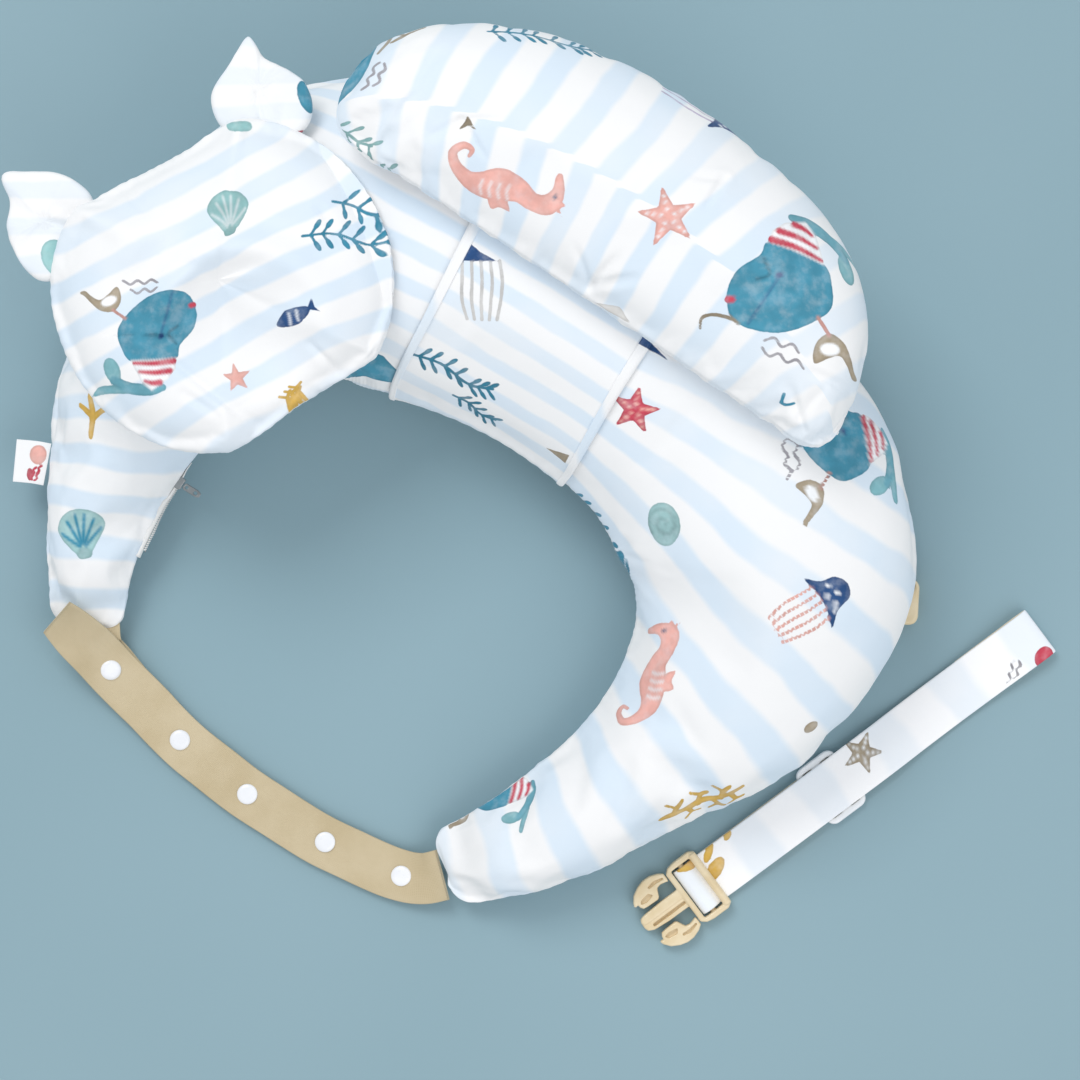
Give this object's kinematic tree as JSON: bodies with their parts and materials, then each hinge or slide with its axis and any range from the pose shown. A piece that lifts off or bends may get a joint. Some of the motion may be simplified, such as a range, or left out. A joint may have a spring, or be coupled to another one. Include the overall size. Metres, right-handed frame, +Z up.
{
  "type": "nursing pillow",
  "caption": "C-shaped nursing pillow with a snap-fastened waist strap, a side bolster on a stretch sleeve, an eared head pillow and a buckled carrying belt.",
  "frame": {"origin": "centre of the whole object's footprint, on the surface it lies on", "axes": "+Z up; +X across the opening from the strap's free arm to the belt; +Y towards the bolster"},
  "size_m": [0.6408, 0.5456, 0.1756],
  "materials": {
    "printed_cotton": "matte woven cotton, printed with pale blue stripes and sea motifs",
    "fibre_filling": "lofted polyester fibre",
    "white_elastic": "ribbed stretch strip",
    "white_tape": "woven tape",
    "white_coil": "nylon coil",
    "grey_metal": "satin",
    "white_satin": "satin label",
    "snap_white": "satin gloss",
    "tan_canvas": "plain woven canvas",
    "printed_webbing": "printed cotton facing on webbing",
    "white_plastic": "satin moulded",
    "beige_plastic": "satin moulded"
  },
  "bodies": {
    "pillow": {"main_cushion_filling": "fibre_filling", "main_cover_top": "printed_cotton", "main_cover_bottom_left": "printed_cotton", "main_cover_bottom_back": "printed_cotton", "main_cover_bottom_right": "printed_cotton", "sleeve_band": "printed_cotton", "sleeve_hem_left": "printed_cotton", "sleeve_hem_right": "printed_cotton", "sleeve_elastic": "white_elastic", "zip_tape": "white_tape", "zip_coil": "white_coil", "side_label": "white_satin", "waist_tab": "tan_canvas", "tab_stud": "snap_white", "tab_rivet": "snap_white"},
    "zip_slider": {"zip_slider": "grey_metal"},
    "zip_pull": {"zip_pull": "grey_metal"},
    "strap": {"waist_strap": "tan_canvas", "snap_cap_1": "snap_white", "snap_cap_2": "snap_white", "snap_cap_3": "snap_white", "snap_cap_4": "snap_white", "snap_cap_5": "snap_white", "snap_socket_1": "snap_white", "snap_socket_2": "snap_white", "snap_socket_3": "snap_white", "snap_socket_4": "snap_white", "snap_socket_5": "snap_white"},
    "bolster": {"bolster_filling": "fibre_filling", "bolster_cover_top": "printed_cotton", "bolster_cover_bottom": "printed_cotton"},
    "head": {"head_pillow_filling": "fibre_filling", "head_cover_front": "printed_cotton", "head_cover_back": "printed_cotton"},
    "ear_left": {"ear_left_cover": "printed_cotton", "ear_left_filling": "fibre_filling"},
    "ear_top": {"ear_top_cover": "printed_cotton", "ear_top_filling": "fibre_filling"},
    "belt": {"belt_webbing": "printed_webbing", "buckle_male_body": "beige_plastic"},
    "glide": {"tri_glide": "white_plastic"},
    "prong_left": {"buckle_prong_left": "beige_plastic"},
    "prong_right": {"buckle_prong_right": "beige_plastic"},
    "anchor": {"anchor_strap": "printed_webbing", "buckle_female": "beige_plastic"}
  },
  "joints": [
    {"name": "head_lift", "type": "slide", "parent": "pillow", "child": "head", "axis": [0, 0, 1], "range_m": [0, 0.1]},
    {"name": "ear_left_flop", "type": "hinge", "parent": "head", "child": "ear_left", "pos_m": [-0.26944, 0.15089, 0.112], "axis": [0.4828, 0.8757, 0], "range_deg": [-20, 20], "stiffness_Nm_per_rad": 0.05},
    {"name": "ear_top_flop", "type": "hinge", "parent": "head", "child": "ear_top", "pos_m": [-0.16144, 0.22339, 0.112], "axis": [0.98, -0.199, 0], "range_deg": [-20, 20], "stiffness_Nm_per_rad": 0.05},
    {"name": "bolster_tilt", "type": "hinge", "parent": "pillow", "child": "bolster", "pos_m": [0.07767, 0.20622, 0.08], "axis": [-0.832, 0.5548, 0], "range_deg": [0, 35]},
    {"name": "strap_open", "type": "hinge", "parent": "pillow", "child": "strap", "pos_m": [-0.06044, -0.22811, 0.013], "axis": [-0.327, 0.945, 0], "range_deg": [0, 70]},
    {"name": "zip_slide", "type": "slide", "parent": "pillow", "child": "zip_slider", "axis": [-0.5408, -0.8412, 0], "range_m": [0, 0.036]},
    {"name": "zip_pull_swing", "type": "hinge", "parent": "zip_slider", "child": "zip_pull", "pos_m": [-0.20911, 0.00726, 0.028], "axis": [-0.5408, -0.8412, 0], "range_deg": [0, 55]},
    {"name": "belt_lift", "type": "slide", "parent": "pillow", "child": "belt", "axis": [0, 0, 1], "range_m": [0, 0.15]},
    {"name": "glide_slide", "type": "slide", "parent": "belt", "child": "glide", "axis": [0.8007, 0.599, 0], "range_m": [-0.02, 0.02]},
    {"name": "prong_left_squeeze", "type": "hinge", "parent": "belt", "child": "prong_left", "pos_m": [0.08005, -0.22963, 0.0048], "axis": [0, 0, 1], "range_deg": [0, 6], "stiffness_Nm_per_rad": 0.3},
    {"name": "prong_right_squeeze", "type": "hinge", "parent": "belt", "child": "prong_right", "pos_m": [0.09994, -0.25622, 0.0048], "axis": [0, 0, -1], "range_deg": [0, 6], "stiffness_Nm_per_rad": 0.3},
    {"name": "anchor_swing", "type": "hinge", "parent": "pillow", "child": "anchor", "pos_m": [0.21906, 0.00439, 0.006], "axis": [0, 0, 1], "range_deg": [0, 15]}
  ],
  "couplings": [
    {"joint": "prong_right_squeeze", "follows": "prong_left_squeeze", "ratio": 1}
  ]
}
